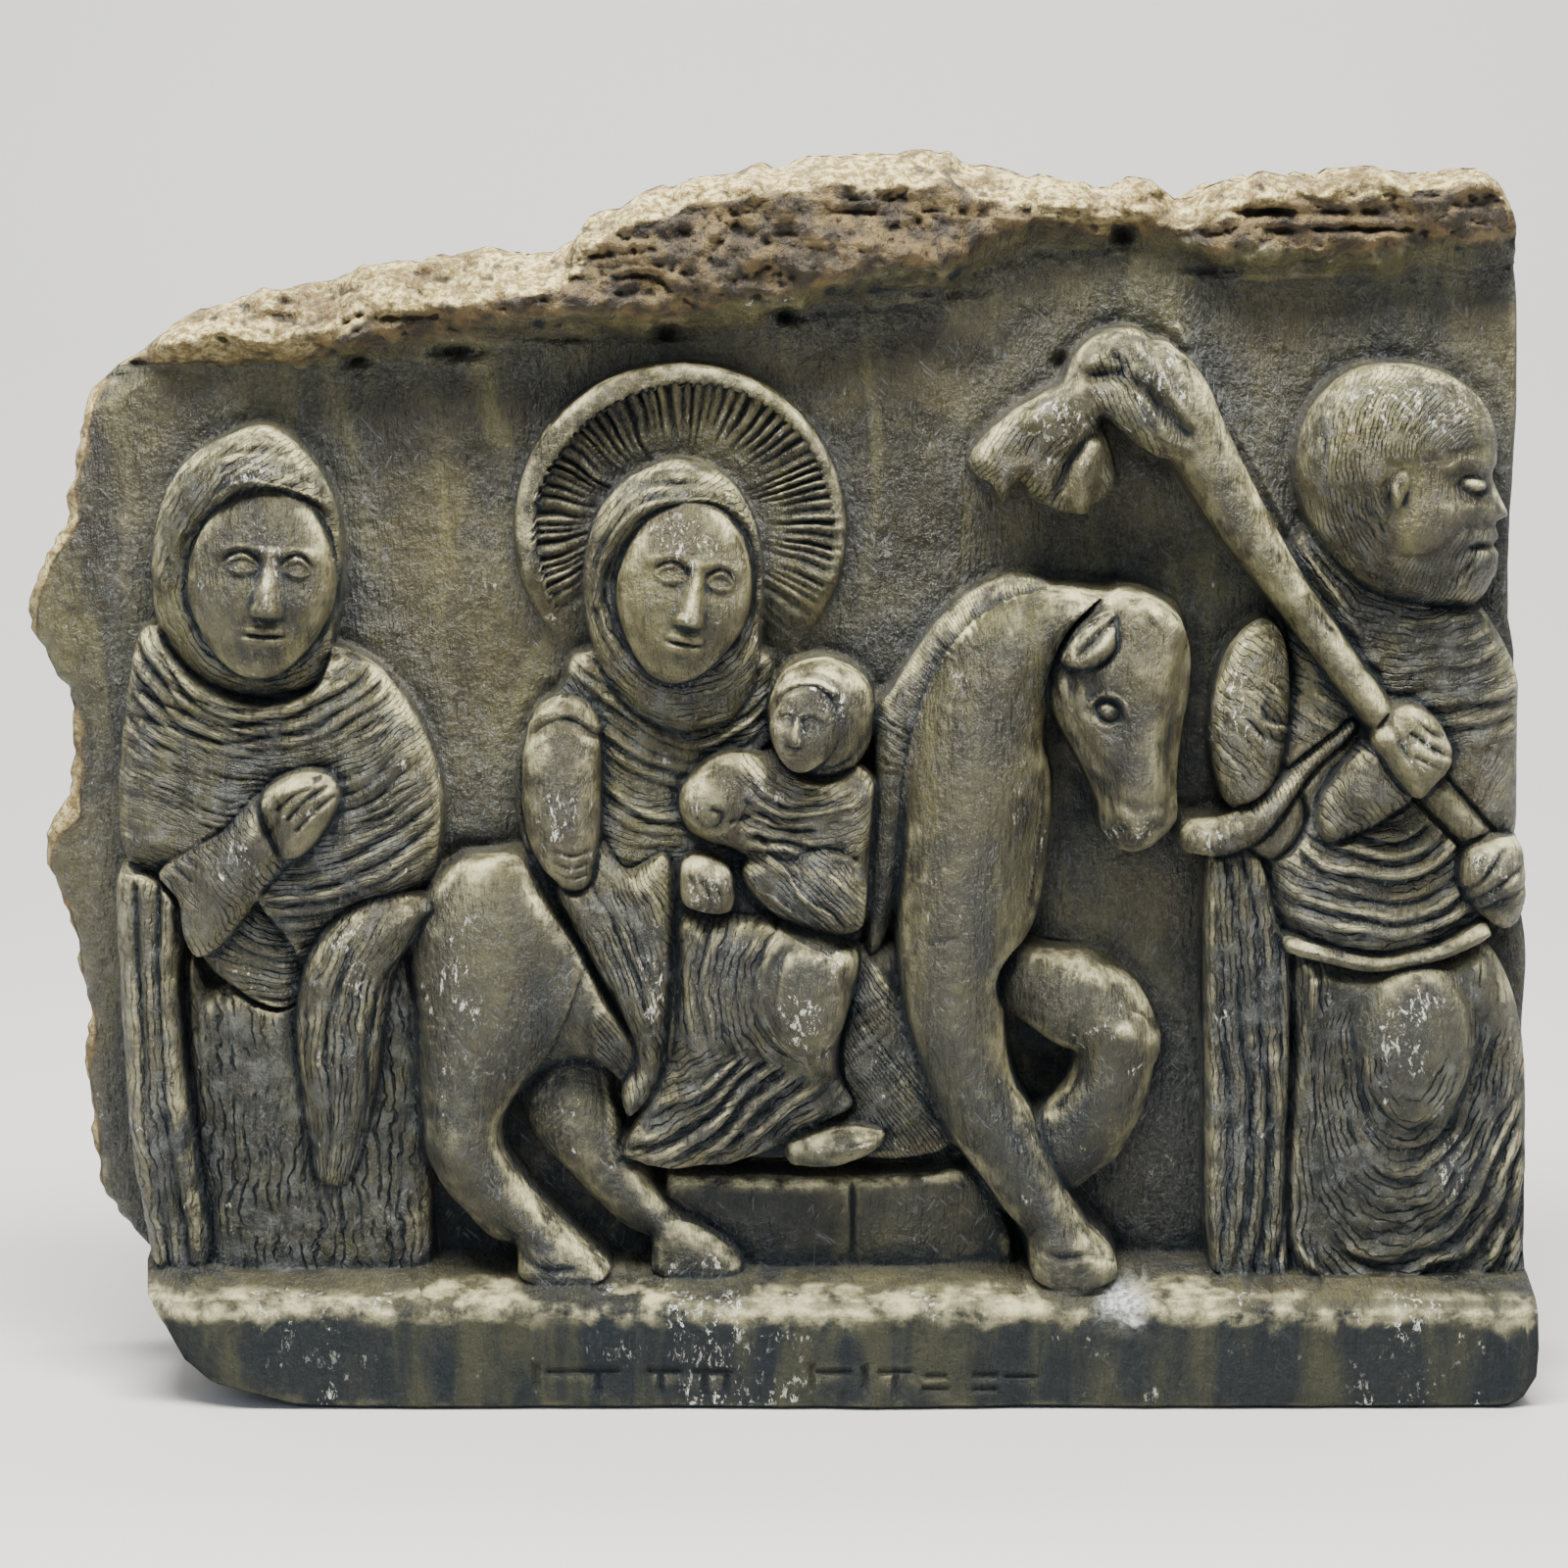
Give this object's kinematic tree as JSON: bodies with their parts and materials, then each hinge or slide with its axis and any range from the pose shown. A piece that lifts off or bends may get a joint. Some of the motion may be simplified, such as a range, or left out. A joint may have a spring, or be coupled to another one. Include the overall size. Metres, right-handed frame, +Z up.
{
  "type": "relief plaque",
  "caption": "Thick broken stone slab carved in high relief with draped figures and a horse, standing on a plinth foot.",
  "frame": {"origin": "middle of the bounding box in plan, at the level of the flat underside", "axes": "+Z up, +X to the viewer's right along the slab, the carved face towards -Y and the flat back towards +Y"},
  "size_m": [0.3398, 0.0664, 0.2801],
  "materials": {
    "carved_stone": "polished dark olive-brown carving stone, worn pale on the high points and rough where broken"
  },
  "bodies": {
    "root": {"relief_plaque": "carved_stone"}
  },
  "joints": []
}
